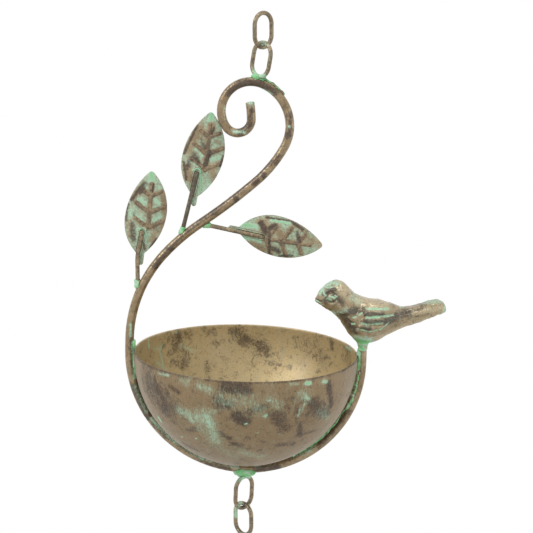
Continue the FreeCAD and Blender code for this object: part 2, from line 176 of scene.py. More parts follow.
BIRD_GREEN = (
    (-24.0, 31.0, -22.0, 34.0, 1.0, 0.75),
    (-22.0, 34.0, -18.0, 37.0, 1.0, 0.7),
    (-18.0, 37.0, -14.0, 37.0, 0.9, 0.7),
    (-22.5, 33.5, -21.5, 31.0, 0.8, 0.7),
    (-20.0, 34.5, -15.0, 36.0, 0.5, 0.6),
    (-19.8, 29.2, -18.4, 28.6, 0.8, 0.95),
    (-18.8, 30.6, -16.2, 30.2, 0.6, 0.9),
    (-16.0, 31.4, -15.2, 30.8, 0.5, 0.9),
    (-26.1, 27.0, -22.3, 25.4, 0.5, 0.85),
    (-14.6, 22.0, -10.1, 24.2, 1.6, 0.5),
    (-16.6, 21.8, -9.6, 10.6, 1.0, 0.8),
    (-6.5, 30.0, -3.0, 27.6, 2.0, 0.5),
    (19.1, 25.0, 31.1, 27.6, 0.9, 0.6),
    (31.1, 27.6, 40.6, 28.4, 0.9, 0.55),
    (41.6, 23.0, 42.6, 27.0, 0.8, 0.7),
    (-4.5, 9.0, 3.5, 8.0, 1.8, 0.75),
    (-3.6, 6.2, 2.4, 5.6, 2.6, 1.2),
    (-1.8, 2.4, 0.0, 1.0, 1.8, 1.1),
)
# Dark mottling, and painted shade along the breast and below the wing.
BIRD_DARK_AND_SHADE = (
    (-27.5, 27.5, -23.5, 27.0, 0.5, 1.0),
    (-21.5, 31.0, -19.5, 33.5, 0.9, 1.1),
    (-19.5, 33.5, -16.0, 34.5, 0.8, 1.1),
    (-21.0, 28.5, -20.5, 28.0, 0.9, 1.0),
    (-17.0, 31.5, -16.5, 31.0, 0.6, 1.1),
    (-15.0, 30.5, -12.0, 27.5, 1.2, 0.7),
    (-12.0, 21.5, -5.5, 12.0, 2.2, 0.8),
    (-9.0, 23.0, -4.0, 24.5, 1.6, 0.8),
    (-1.0, 25.0, 0.0, 22.0, 1.2, 0.8),
    (0.5, 23.0, 9.0, 22.5, 1.0, 1.1),
    (0.0, 19.0, 9.0, 19.0, 1.1, 1.1),
    (-1.5, 15.0, 2.5, 15.0, 1.0, 1.1),
    (11.5, 19.0, 17.0, 21.0, 2.0, 1.0),
    (17.0, 21.0, 23.0, 22.5, 2.0, 0.8),
    (22.5, 22.5, 32.0, 26.5, 1.4, 0.55),
    (20.0, 18.5, 34.0, 22.0, 0.8, 0.35),
)
# Painted highlights on the crown, back and top of the tail, and a painted reflection along the underside.
BIRD_HIGHLIGHTS_AND_REFLECTION = (
    (-13.0, 36.5, -7.5, 32.0, 3.0, 1.0),
    (-4.0, 28.5, 11.0, 26.5, 2.4, 1.1),
    (26.0, 23.0, 41.0, 25.5, 2.2, 1.0),
    (5.5, 8.5, 26.5, 17.0, 1.6, 1.0),
    (26.5, 17.0, 41.5, 22.0, 1.4, 1.0),
    (-18.0, 26.5, -14.0, 26.5, 1.4, 0.6),
    (7.0, 5.5, 26.0, 14.0, 1.6, 1.0),
    (26.0, 14.0, 40.0, 20.0, 1.4, 0.9),
)
# On a leaf they are sideways and up from its base.
LEAF_GREEN = {
    "left": (
        (0.0, 45.0, 1.0, 41.0, 3.0, 0.95),
        (-4.5, 30.5, -1.0, 28.5, 2.0, 0.85),
        (3.5, 31.5, 6.5, 29.0, 1.9, 0.85),
        (-8.5, 23.0, -2.0, 19.0, 2.4, 0.9),
        (4.5, 20.5, 8.5, 23.0, 1.8, 0.85),
        (-8.0, 14.0, -3.0, 10.0, 2.2, 0.6),
        (-3.5, 14.0, 0.5, 15.5, 0.8, 1.0),
        (1.0, 15.0, 2.0, 7.5, 0.8, 1.0),
        (-3.0, 13.5, -3.0, 6.0, 0.6, 0.8),
        (3.5, 3.5, 2.5, 1.0, 1.6, 0.85),
        (5.0, 38.0, 6.5, 35.5, 1.2, 0.85),
    ),
    "middle": (
        (0.5, 46.0, 0.5, 42.0, 2.4, 0.95),
        (-4.5, 25.5, 0.0, 22.5, 1.4, 0.8),
        (-6.0, 18.5, -0.5, 16.5, 1.4, 0.9),
        (3.5, 30.5, 7.0, 31.0, 1.6, 0.6),
        (4.5, 21.5, 9.0, 23.5, 1.7, 0.85),
        (6.0, 8.0, 2.0, 2.5, 2.4, 0.75),
        (4.0, 41.0, 6.5, 35.5, 0.9, 0.75),
        (-4.0, 14.5, -0.5, 15.5, 0.8, 1.0),
        (0.0, 14.5, 1.5, 4.0, 0.8, 1.0),
        (1.0, 0.0, 1.0, -4.0, 1.4, 0.8),
    ),
    "right": (
        (-3.0, 2.0, -3.5, 11.0, 2.2, 0.95),
        (4.0, 3.0, 4.0, 13.0, 1.8, 0.95),
        (-8.0, 17.0, -8.5, 26.5, 1.1, 1.0),
        (-2.0, 27.5, -4.0, 31.0, 1.6, 0.7),
        (9.0, 25.0, 7.5, 33.5, 1.6, 0.75),
        (2.5, 35.0, 2.5, 39.0, 1.2, 0.7),
        (5.0, 25.0, 5.5, 30.0, 1.4, 0.75),
        (3.0, 19.0, 3.5, 22.0, 1.0, 0.85),
        (0.5, 44.0, 0.0, 46.0, 1.2, 0.6),
    ),
}
# Where the green is rubbed off the leaves
LEAF_BARE = {
    "left": (
        (7.5, 34.5, 10.0, 27.0, 1.6, 0.9),
        (10.0, 27.0, 9.5, 16.0, 1.4, 0.9),
        (6.5, 14.5, 6.0, 9.0, 2.2, 0.7),
        (-8.5, 17.0, -7.0, 10.0, 1.2, 0.5),
        (-5.0, 36.0, -8.0, 30.0, 1.2, 0.5),
    ),
    "middle": (
        (-4.0, 37.0, -8.5, 24.5, 2.0, 0.9),
        (-3.0, 35.0, 0.5, 33.0, 1.6, 0.8),
        (-7.0, 14.0, -4.5, 9.5, 2.0, 0.9),
        (6.0, 16.0, 8.5, 12.0, 1.8, 0.8),
        (5.5, 31.0, 8.0, 30.5, 1.0, 0.6),
        (2.0, 40.0, 2.0, 36.0, 1.2, 0.8),
    ),
    "right": (
        (6.0, 8.5, 8.5, 16.0, 1.8, 0.9),
        (-5.0, 13.0, -2.0, 17.5, 2.6, 1.0),
        (-3.5, 21.0, -0.5, 24.0, 2.0, 0.9),
        (-4.0, 27.0, 0.5, 25.0, 1.0, 0.8),
        (-3.0, 37.0, -0.5, 44.0, 1.8, 0.7),
        (-8.0, 30.0, -6.0, 36.0, 1.2, 0.6),
    ),
}
LEAF_DARK = {
    "left": (
        (-8.5, 29.5, -3.0, 39.5, 1.0, 0.9),
        (-3.0, 39.0, -4.5, 34.0, 1.4, 0.9),
        (-10.0, 27.0, -10.0, 18.0, 0.8, 0.8),
        (-6.5, 16.5, -4.5, 8.5, 1.4, 0.8),
        (1.0, 7.5, 2.0, 4.0, 0.7, 0.8),
        (5.0, 5.5, 7.0, 10.0, 0.8, 0.7),
        (2.0, 39.5, 2.0, 36.0, 0.6, 0.9),
        (-7.0, 22.5, -6.0, 21.5, 0.8, 1.0),
    ),
    "middle": (
        (3.0, 25.0, 2.0, 18.0, 1.2, 1.1),
        (-7.5, 15.0, -4.5, 22.5, 1.6, 0.8),
        (-6.0, 37.5, -10.0, 22.0, 0.7, 0.9),
        (-9.5, 17.5, -6.5, 8.5, 0.7, 0.9),
        (10.5, 24.0, 10.0, 19.0, 0.9, 1.0),
        (-2.5, 31.0, 0.0, 27.0, 1.0, 0.7),
        (-3.5, 21.5, -1.5, 19.0, 1.0, 0.9),
        (3.0, 38.5, 2.5, 35.0, 0.6, 0.9),
    ),
    "right": (
        (-5.5, 12.0, -1.5, 15.0, 1.6, 1.0),
        (-3.5, 17.0, -6.0, 19.5, 1.2, 1.0),
        (-1.5, 17.0, 9.5, 19.5, 1.0, 0.8),
        (6.5, 21.0, 8.0, 24.0, 1.4, 1.0),
        (-9.0, 14.0, -9.5, 26.5, 0.6, 1.0),
        (-9.5, 26.5, -6.5, 34.0, 0.7, 1.0),
        (-4.0, 31.5, 0.0, 33.5, 1.2, 0.9),
        (10.0, 25.0, 8.5, 31.0, 0.9, 0.8),
    ),
}
# On the bowl they are degrees round from the front and degrees down from the mouth.
BOWL_OUT_GREEN = (
    (-37.0, 18.5, -28.5, 20.5, 3.0, 0.5),
    (-31.0, 18.5, -29.0, 23.0, 2.0, 0.6),
    (-26.0, 17.0, -13.0, 15.5, 2.0, 0.42),
    (-27.0, 20.0, -17.0, 23.0, 4.0, 0.52),
    (-20.5, 19.0, -18.0, 24.0, 3.0, 0.66),
    (-18.5, 24.0, -17.0, 35.0, 3.6, 0.52),
    (-26.0, 27.0, -18.0, 32.0, 4.0, 0.35),
    (-20.0, 37.0, -6.0, 48.0, 5.0, 0.26),
    (-34.0, 1.5, -29.0, 2.0, 1.8, 0.42),
    (-24.0, 2.5, -16.0, 4.0, 2.4, 0.42),
    (-14.0, 8.5, 7.0, 9.0, 5.0, 0.33),
    (0.0, 8.0, 9.0, 13.0, 4.0, 0.33),
    (12.0, 7.5, 18.0, 11.0, 3.0, 0.36),
    (22.0, 0.4, 27.5, 0.6, 0.5, 0.9),
    (30.5, 0.9, 34.5, 1.2, 0.9, 1.1),
    (41.5, 1.6, 45.0, 2.2, 0.9, 1.0),
    (30.5, 8.0, 34.0, 9.5, 1.0, 0.75),
    (28.0, 6.0, 34.0, 9.0, 2.6, 0.4),
    (29.5, 18.5, 29.8, 13.6, 0.5, 0.8),
    (31.0, 16.3, 31.2, 12.2, 0.5, 0.7),
    (41.0, 18.0, 55.0, 24.5, 2.6, 0.32),
    (-58.5, 28.5, -58.0, 30.5, 0.9, 1.2),
    (12.0, 8.5, 12.0, 8.5, 0.6, 1.2),
    (10.7, 16.5, 11.0, 17.0, 0.7, 1.2),
    (1.0, 21.5, 1.0, 21.5, 0.6, 1.2),
    (7.5, 27.5, 7.5, 27.5, 0.5, 1.2),
    (-42.5, 37.5, -42.5, 37.5, 0.5, 1.2),
    (-30.5, 35.5, -30.5, 35.5, 0.5, 1.2),
    (-50.0, 1.0, -39.0, 0.4, 0.7, 0.65),
    (-2.0, 43.5, 14.0, 48.5, 3.0, 0.35),
)
BOWL_OUT_DARK = (
    (-13.0, 2.0, 4.0, 2.6, 3.0, 0.8),
    (-15.0, 9.5, -6.5, 11.0, 3.4, 0.7),
    (-5.0, 16.5, 1.5, 20.5, 3.0, 0.9),
    (2.0, 14.0, 9.5, 12.0, 2.6, 0.6),
    (-52.0, 4.5, -50.0, 13.5, 1.2, 0.75),
    (-48.0, 13.0, -48.5, 22.0, 1.6, 0.8),
    (-42.0, 6.0, -33.5, 8.0, 1.4, 0.65),
    (-42.0, 9.0, -44.0, 15.0, 1.0, 0.6),
    (44.5, 3.6, 53.0, 17.0, 2.0, 0.8),
    (33.0, 12.0, 53.0, 21.5, 3.4, 0.75),
    (30.5, 23.5, 36.5, 32.0, 1.8, 0.7),
    (14.5, 17.0, 24.5, 25.0, 4.0, 0.6),
    (32.0, 31.5, 46.5, 31.0, 1.6, 0.5),
    (20.0, 37.5, 35.0, 38.5, 2.0, 0.5),
    (-12.0, 30.0, -8.0, 31.5, 2.0, 0.65),
    (-6.0, 36.0, -2.0, 38.0, 2.0, 0.6),
    (-48.0, 44.0, -37.0, 48.5, 1.4, 0.6),
    (-33.0, 30.0, -26.0, 28.0, 2.0, 0.45),
    # Painted shade: a broad darkening of the left flank, repeated on the far side.
    (-60.0, 8.0, -42.0, 18.0, 9.0, 0.6),
    (20.0, 10.0, 40.0, 20.0, 7.0, 0.35),
)
BOWL_IN_GREEN = (
    (245.5, 0.2, 245.5, 4.2, 0.8, 1.0),
    (231.5, 4.5, 235.5, 8.0, 0.5, 0.8),
    (235.5, 8.0, 233.5, 16.0, 0.6, 0.75),
    (242.0, 6.5, 235.0, 7.0, 1.2, 0.45),
    (241.0, 13.5, 231.0, 19.0, 1.0, 0.6),
    (221.0, 8.0, 207.5, 12.5, 1.4, 0.4),
    (224.0, 0.2, 221.0, 0.4, 0.7, 0.6),
    (114.0, 0.4, 102.0, 0.4, 0.8, 0.8),
)
BOWL_IN_DARK = (
    (221.0, 0.5, 220.0, 5.0, 2.6, 0.75),
    (215.0, 1.5, 211.0, 3.0, 2.4, 0.5),
    (227.0, 17.0, 216.5, 18.0, 3.4, 0.5),
    (230.0, 4.0, 216.0, 16.0, 7.0, 0.42),
    (203.0, 19.5, 204.0, 27.0, 2.0, 0.5),
    (187.0, 3.0, 180.0, 7.0, 4.0, 0.7),
    (180.0, 7.0, 170.0, 11.5, 4.0, 0.62),
    (173.0, 9.0, 167.0, 14.0, 4.0, 0.6),
    (200.0, 8.5, 196.0, 10.0, 1.8, 0.5),
    (205.0, 1.0, 198.0, 3.0, 3.0, 0.4),
    (176.0, 14.0, 160.0, 20.0, 6.0, 0.4),
    (128.0, 0.5, 126.0, 4.5, 1.6, 0.7),
    (150.0, 5.0, 128.0, 13.0, 6.0, 0.42),
    (112.0, 4.0, 100.0, 14.0, 6.0, 0.45),
    (40.0, 30.0, 80.0, 40.0, 7.0, 0.5),
    (300.0, 24.0, 330.0, 34.0, 6.0, 0.5),
    (240.0, 44.0, 270.0, 52.0, 7.0, 0.45),
    (150.0, 48.0, 185.0, 56.0, 6.0, 0.45),
    (0.0, 10.0, 20.0, 22.0, 5.0, 0.5),
)
# Painted highlights inside the bowl.
BOWL_IN_HIGHLIGHTS = (
    (194.4, 7.2, 196.0, 12.0, 6.0, 0.7),
    (145.1, 20.3, 143.0, 24.0, 5.0, 0.9),
)
# The same marks come again, turned this far, on the bowl's far side.
BOWL_FAR_TURN = 163.0
# How far round from the front the near side's marks go
BOWL_NEAR_TURN = 95.0

# Bird's head, from the eye: radius and half width of the ring round it and of the brow over it
EYE_SOCKET = (2.6, 0.7)
EYE_BROW = (4.4, 0.9)

# Size of the unevenness on each kind of piece
ROD_LUMP = 9.0
WIRE_LUMP = 5.0
LEAF_LUMP = 4.0
BEAD_LUMP = 2.6
BOWL_LUMP = 34.0
PLUME_LUMP = 2.4
BODY_LUMP = 6.0
CHIP_LUMP = 2.0

# Rounds of smoothing that soften a fine mesh, and the pull there and back in each
ROD_ROUNDS = 10
PIECE_ROUNDS = 8
BEAD_ROUNDS = 4
RELAX_PULLS = (0.5, -0.53)

# How fast a stroke fades from its middle, and the most that a mask holds
STROKE_FADE = 0.7
MASK_TOP = 1.2

# Fineness of the paint's flecks and grit, to the metre, and the height of its relief
FLECK_SCALE = 1500.0
GRIT_SCALE = 2600.0
PAINT_RELIEF = 0.3 * MM

# Floor, in metres: its radius and where it starts and ends fading out
FLOOR_RADIUS = 1.2
FLOOR_FADE = (0.5, 1.15)
FLOOR_STEPS = 96

# Lamps: the direction from the bowl, the distance and the size, in metres
LAMPS = {
    "key": ((-0.68, -0.42, 0.56), 1.5, 0.8),
    "top": ((0.10, -0.25, 1.0), 1.4, 0.4),
    "side": ((0.95, -0.22, 0.02), 1.4, 0.8),
}
SENSOR_WIDTH = 36.0


def paint(red, green, blue):
    """A colour as a paint chart gives it, 0 to 255, in a shader's own scale."""
    steps = [value / 255.0 for value in (red, green, blue)]
    return tuple(s / 12.92 if s <= 0.04045 else ((s + 0.055) / 1.055) ** 2.4 for s in steps)


class RainChainPaint(bpy.types.PropertyGroup):
    """Colours of the weathered paint."""

    bronze: FloatVectorProperty(
        name="Bronze", description="Ground coat of bar, links and leaves", subtype="COLOR",
        default=paint(146, 124, 92), min=0.0, max=1.0)
    bronze_light: FloatVectorProperty(
        name="Light bronze", description="Where the ground coat is thicker", subtype="COLOR",
        default=paint(172, 151, 118), min=0.0, max=1.0)
    bronze_dark: FloatVectorProperty(
        name="Dark bronze", description="Ground coat of the bowl's outside and the bird", subtype="COLOR",
        default=paint(140, 119, 86), min=0.0, max=1.0)
    bowl_gold: FloatVectorProperty(
        name="Bowl gold", description="Golden coat inside the bowl", subtype="COLOR",
        default=paint(198, 177, 133), min=0.0, max=1.0)
    # Pale bronze for rubbed paint, and for painted highlights and reflections.
    rubbed: FloatVectorProperty(
        name="Rubbed", description="Pale bronze where the paint is rubbed", subtype="COLOR",
        default=paint(198, 180, 146), min=0.0, max=1.0)
    # Dark sponged mottling, and the colour of painted shade.
    tarnish: FloatVectorProperty(
        name="Tarnish", description="Dark sponged mottling", subtype="COLOR",
        default=paint(70, 57, 50), min=0.0, max=1.0)
    umber: FloatVectorProperty(
        name="Umber", description="Soft brown shade round the mottling", subtype="COLOR",
        default=paint(98, 72, 50), min=0.0, max=1.0)
    verdigris: FloatVectorProperty(
        name="Verdigris", description="Pale green bloom", subtype="COLOR",
        default=paint(178, 210, 182), min=0.0, max=1.0)
    verdigris_bright: FloatVectorProperty(
        name="Bright verdigris", description="Strong green on the weld beads and chips", subtype="COLOR",
        default=paint(126, 200, 132), min=0.0, max=1.0)
    dust: FloatVectorProperty(
        name="Dust", description="Grey green haze over the paint", subtype="COLOR",
        default=paint(152, 160, 138), min=0.0, max=1.0)
    verdigris_deep: FloatVectorProperty(
        name="Deep verdigris", description="Dark green in the beads' hollows", subtype="COLOR",
        default=paint(70, 112, 78), min=0.0, max=1.0)
    floor: FloatVectorProperty(
        name="Floor", description="Pale floor", subtype="COLOR",
        default=paint(238, 238, 236), min=0.0, max=1.0)


class RainChainRelief(bpy.types.PropertyGroup):
    """How fine and how uneven the surfaces are."""

    wire_grain: FloatProperty(
        name="Wire mesh", description="Mesh size of links, stems and beads", unit="LENGTH",
        default=0.30 * MM)
    rod_grain: FloatProperty(
        name="Rod mesh", description="Mesh size of the scroll rod", unit="LENGTH", default=0.45 * MM)
    leaf_grain: FloatProperty(
        name="Leaf mesh", description="Mesh size of the pressed leaves", unit="LENGTH", default=0.22 * MM)
    bird_grain: FloatProperty(
        name="Bird mesh", description="Mesh size of the cast bird", unit="LENGTH", default=0.32 * MM)
    paint_lumps: FloatProperty(
        name="Paint lumps", description="Unevenness of the brushed paint", unit="LENGTH", default=0.05 * MM)
    bead_lumps: FloatProperty(
        name="Bead lumps", description="Unevenness of the weld beads", unit="LENGTH", default=0.45 * MM)
    bowl_dents: FloatProperty(
        name="Bowl dents", description="Unevenness of the spun bowl", unit="LENGTH", default=0.18 * MM)
    vein_groove: FloatProperty(
        name="Vein groove", description="Depth of the veins on a leaf's back", unit="LENGTH",
        default=0.40 * MM)
    plume_groove: FloatProperty(
        name="Plume groove", description="Depth of the lines cast in the bird", unit="LENGTH",
        default=0.60 * MM)


class RainChainStage(bpy.types.PropertyGroup):
    """Camera, light and floor."""

    camera_place: FloatVectorProperty(
        name="Camera", description="Where the camera stands", subtype="TRANSLATION", unit="LENGTH",
        default=(1.721 * MM, -1000.491 * MM, 87.357 * MM))
    camera_dip: FloatProperty(
        name="Camera dip", description="How far the camera looks down", subtype="ANGLE",
        default=math.radians(12.39))
    camera_lens: FloatProperty(
        name="Lens", description="Focal length on a 36 mm sensor", default=130.77)
    key_power: FloatProperty(
        name="Key lamp", description="Soft lamp high on the left", unit="POWER", default=8.4)
    side_power: FloatProperty(
        name="Side lamp", description="Soft lamp on the right", unit="POWER", default=2.6)
    top_power: FloatProperty(
        name="Top lamp", description="Soft lamp overhead", unit="POWER", default=3.6)
    room_level: FloatProperty(
        name="Room light", description="Even light from all round", default=0.72)
    floor_drop: FloatProperty(
        name="Floor drop", description="How far the floor lies under the section", unit="LENGTH",
        default=0.6)


class Recipe:
    """Builds the node tree of a material or of the room's light, step by step."""

    def __init__(self, owner):
        owner.use_nodes = True
        self.owner = owner
        self.tree = owner.node_tree
        self.tree.nodes.clear()

    def step(self, kind, inputs, output=0, **settings):
        """Add a node, set or link its inputs by name or number, and return one output."""
        node = self.tree.nodes.new(kind)
        for setting, value in settings.items():
            setattr(node, setting, value)
        for socket, value in inputs.items():
            if isinstance(value, bpy.types.NodeSocket):
                self.tree.links.new(value, node.inputs[socket])
            else:
                node.inputs[socket].default_value = value
        return node.outputs[output] if node.outputs else None

    def place(self):
        """Places on the object, in metres."""
        return self.step("ShaderNodeTexCoord", {}, "Object")

    def stretch(self, place, scale=(1.0, 1.0, 1.0), shift=(0.0, 0.0, 0.0)):
        """The places scaled along each axis and moved, which draws a pattern out or gives another."""
        return self.step("ShaderNodeMapping", {"Vector": place, "Location": shift, "Scale": scale})

    def speckle(self, place, scale, detail, roughness=0.6, twist=0.0):
        """Fractal noise, about 0.5 on average."""
        return self.step("ShaderNodeTexNoise", {
            "Vector": place, "Scale": scale, "Detail": detail, "Roughness": roughness, "Distortion": twist})

    def stroke(self, name):
        """A mask that the mesh carries."""
        return self.step("ShaderNodeAttribute", {}, "Fac", attribute_name=name)

    def sum(self, first, second):
        return self.step("ShaderNodeMath", {0: first, 1: second}, operation="ADD")

    def times(self, first, second):
        return self.step("ShaderNodeMath", {0: first, 1: second}, operation="MULTIPLY")

    def band(self, value, low, high, to_low=0.0, to_high=1.0):
        """The value mapped smoothly from low..high."""
        values = {"Value": value, 1: low, 2: high, 3: to_low, 4: to_high}
        return self.step("ShaderNodeMapRange", values, interpolation_type="SMOOTHSTEP")

    def mix(self, share, first, second):
        """Two colours mixed."""
        colours = [c if isinstance(c, bpy.types.NodeSocket) else (*c, 1.0) for c in (first, second)]
        return self.step("ShaderNodeMix", {0: share, 6: colours[0], 7: colours[1]}, 2, data_type="RGBA")

    def finish(self, colour, roughness, height, metallic):
        """The shader itself, with bump from the height."""
        bump = self.step("ShaderNodeBump", {"Height": height, "Strength": 0.8, "Distance": PAINT_RELIEF})
        shader = self.step("ShaderNodeBsdfPrincipled", {
            "Base Color": colour, "Roughness": roughness, "Normal": bump, "Metallic": metallic})
        self.step("ShaderNodeOutputMaterial", {"Surface": shader})
        return self.owner


def weathered_paint(name, ground, light, sponge=700.0, cloudy=110.0, streak=(1.0, 1.0, 1.0),
                    gloss=0.36, metallic=0.35, dust=0.3, grain=1.0, inside=None):
    """Bronze paint with dark sponging and verdigris, more of each where the strokes lie, and painted
    highlights and shade where the masks put them.
    """
    colours = bpy.context.scene.rain_chain_paint
    recipe = Recipe(bpy.data.materials.new(name))
    place = recipe.place()
    cloud = recipe.speckle(place, cloudy, 7.0, 0.66)
    dabs = recipe.speckle(place, sponge, 7.0, 0.72, 0.5)
    drips = recipe.speckle(recipe.stretch(place, streak), sponge * 1.3, 7.0, 0.76, 0.4)
    haze = recipe.speckle(recipe.stretch(place, streak, (0.7, 0.3, 0.1)), cloudy * 3.0, 8.0, 0.75, 0.6)
    blotch = recipe.speckle(recipe.stretch(place, shift=(0.2, 0.9, 0.4)), cloudy * 2.6, 8.0, 0.78, 0.6)
    flecks = recipe.speckle(place, FLECK_SCALE, 4.0, 0.7)
    grit = recipe.speckle(place, GRIT_SCALE, 3.0)

    # This mask carries dark mottling, and painted shade on some pieces.
    tarnish = recipe.stroke("tarnish")
    verdigris = recipe.stroke("verdigris")
    stain = recipe.band(recipe.sum(recipe.times(tarnish, 0.27), blotch), 0.56, 0.68)
    specks = recipe.band(recipe.sum(recipe.times(tarnish, 0.24), dabs), 0.61, 0.68)
    film = recipe.band(recipe.sum(recipe.times(verdigris, 0.55), drips), 0.52, 1.02)
    crust = recipe.band(recipe.sum(recipe.times(verdigris, 0.36), drips), 0.67, 0.74)
    worn = recipe.band(flecks, 0.62, 0.72, 0.0, 0.5 * grain)
    # This mask carries painted highlights and reflections, and some rubbed wear.
    pale = recipe.times(recipe.stroke("rubbed"), recipe.band(flecks, 0.35, 0.6, 0.25, 1.0))

    if inside:
        ground = recipe.mix(recipe.stroke("golden"), ground, inside)
        light = recipe.mix(recipe.stroke("golden"), light, inside)
    coat = recipe.mix(recipe.band(cloud, 0.38, 0.62), ground, light)
    coat = recipe.mix(recipe.band(grit, 0.35, 0.7, 0.0, 0.22), coat, colours.tarnish)
    coat = recipe.mix(recipe.sum(pale, worn), coat, colours.rubbed)
    shade = recipe.band(recipe.sum(tarnish, recipe.times(cloud, 0.6)), 0.40, 1.1, 0.0, 0.38)
    coat = recipe.mix(shade, coat, colours.umber)
    coat = recipe.mix(recipe.times(stain, 0.6), coat, colours.tarnish)
    coat = recipe.mix(recipe.times(specks, 0.65), coat, colours.tarnish)
    coat = recipe.mix(recipe.band(haze, 0.50, 0.72, 0.0, dust), coat, colours.dust)
    coat = recipe.mix(recipe.times(film, 0.75), coat, colours.verdigris)
    bloom = recipe.mix(recipe.band(verdigris, 0.75, 1.1), colours.verdigris, colours.verdigris_bright)
    crust = recipe.times(crust, recipe.band(verdigris, 0.35, 0.9, 0.45, 0.95))
    coat = recipe.mix(crust, coat, bloom)

    uneven = recipe.sum(recipe.times(specks, 0.4), recipe.times(flecks, 0.5))
    rough = recipe.band(recipe.sum(crust, uneven), 0.15, 1.1, gloss, gloss + 0.30)
    height = recipe.sum(recipe.times(dabs, 0.5), recipe.times(crust, 0.35))
    height = recipe.sum(height, recipe.times(flecks, 0.4 * grain))
    return recipe.finish(coat, rough, height, metallic)


def weld_paint():
    """Bright verdigris on the lumpy beads, with bronze showing through."""
    colours = bpy.context.scene.rain_chain_paint
    recipe = Recipe(bpy.data.materials.new("weld_verdigris"))
    place = recipe.place()
    cloud = recipe.speckle(place, 300.0, 5.0)
    chips = recipe.speckle(place, 520.0, 8.0, 0.7)
    chips = recipe.sum(chips, recipe.times(recipe.stroke("bare"), 0.24))
    grit = recipe.speckle(place, GRIT_SCALE, 3.0)
    coat = recipe.mix(recipe.band(cloud, 0.45, 0.66), colours.verdigris_bright, colours.verdigris)
    coat = recipe.mix(recipe.band(cloud, 0.46, 0.34, 0.0, 0.75), coat, colours.verdigris_deep)
    coat = recipe.mix(recipe.band(chips, 0.58, 0.68, 0.0, 0.85), coat, colours.bronze)
    coat = recipe.mix(recipe.band(chips, 0.66, 0.76, 0.0, 0.8), coat, colours.tarnish)
    height = recipe.sum(chips, recipe.times(grit, 0.3))
    return recipe.finish(coat, recipe.band(chips, 0.5, 0.75, 0.62, 0.45), height, 0.1)


def stroke_cover(flat, strokes):
    """How strongly the strokes cover points that are given across and up."""
    cover = np.zeros(len(flat))
    for x1, z1, x2, z2, half, strength in strokes:
        start = np.array((x1, z1))
        along = np.array((x2 - x1, z2 - z1))
        reach = along @ along
        share = np.clip((flat - start) @ along / reach, 0.0, 1.0) if reach > 0.0 else np.zeros(len(flat))
        gap = np.linalg.norm(flat - start - np.outer(share, along), axis=1)
        cover = np.maximum(cover, strength * np.exp(-STROKE_FADE * (gap / half) ** 2))
    return cover


def read_points(mesh):
    """A mesh's points and their normals, in millimetres and as directions."""
    points = np.empty(len(mesh.vertices) * 3)
    normals = np.empty(len(mesh.vertices) * 3)
    mesh.vertices.foreach_get("co", points)
    mesh.vertices.foreach_get("normal", normals)
    return points.reshape(-1, 3) / MM, normals.reshape(-1, 3)


def write_points(mesh, points):
    """Put a mesh's points, in millimetres, where they belong."""
    mesh.vertices.foreach_set("co", (points * MM).ravel())
    mesh.update()


def put_strokes(mesh, **masks):
    """Give the mesh the masks that its material reads."""
    for name, values in masks.items():
        layer = mesh.attributes.new(name, "FLOAT", "POINT")
        layer.data.foreach_set("value", np.clip(values, 0.0, MASK_TOP).astype(np.float32))


def lumps(points, size, octaves=3):
    """A slow rise and fall over the points, about -1 to 1, with bumps of that size."""
    return np.array([noise.fractal(Vector(p) / size, 1.0, 2.0, octaves) for p in points])


def brush_on(mesh, height):
    """Give a wire piece the paint's unevenness, and return its points and the normals it had."""
    points, normals = read_points(mesh)
    points = points + normals * (lumps(points, WIRE_LUMP) * height / MM)[:, None]
    write_points(mesh, points)
    return points, normals


def relax(points, edges, rounds):
    """Smooth the points along their edges without making the shape thinner."""
    a, b = edges[:, 0], edges[:, 1]
    count = np.bincount(edges.ravel(), minlength=len(points))
    for _ in range(rounds):
        for pull in RELAX_PULLS:
            total = np.empty_like(points)
            for axis in range(3):
                total[:, axis] = (np.bincount(a, points[b, axis], len(points))
                                  + np.bincount(b, points[a, axis], len(points)))
            points = points + pull * (total / count[:, None] - points)
    return points


def fine_copy(node, grain, rounds):
    """A node's own shape as a fine, even mesh with softened corners."""
    work = bpy.data.objects.new(node + "_work", frame["nodes"][node].data.copy())
    bpy.context.scene.collection.objects.link(work)
    remesh = work.modifiers.new("even mesh", "REMESH")
    remesh.mode = "VOXEL"
    remesh.voxel_size = grain
    graph = bpy.context.evaluated_depsgraph_get()
    mesh = bpy.data.meshes.new_from_object(work.evaluated_get(graph))
    bpy.data.objects.remove(work)
    mesh.materials.clear()
    edges = np.empty(len(mesh.edges) * 2, dtype=np.int64)
    mesh.edges.foreach_get("vertices", edges)
    points, _ = read_points(mesh)
    write_points(mesh, relax(points, edges.reshape(-1, 2), rounds))
    return mesh


def hang(node, mesh, material):
    """Show a finished mesh in place of its CAD node, on the same body."""
    body = next(name for name, members in frame["record"]["behaviour"]["bodies"].items() if node in members)
    mesh.materials.append(material)
    mesh.shade_smooth()
    piece = bpy.data.objects.new("painted_" + node, mesh)
    bpy.context.scene.collection.objects.link(piece)
    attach(piece, body)
    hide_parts(node)
    return piece


def into_place(points, place, angle):
    """Points in the row frame, seen from a place that is turned by an angle towards +X."""
    turn = np.array(Matrix.Rotation(-math.radians(angle), 3, "Y"))
    return (points - np.array(place)) @ turn.T


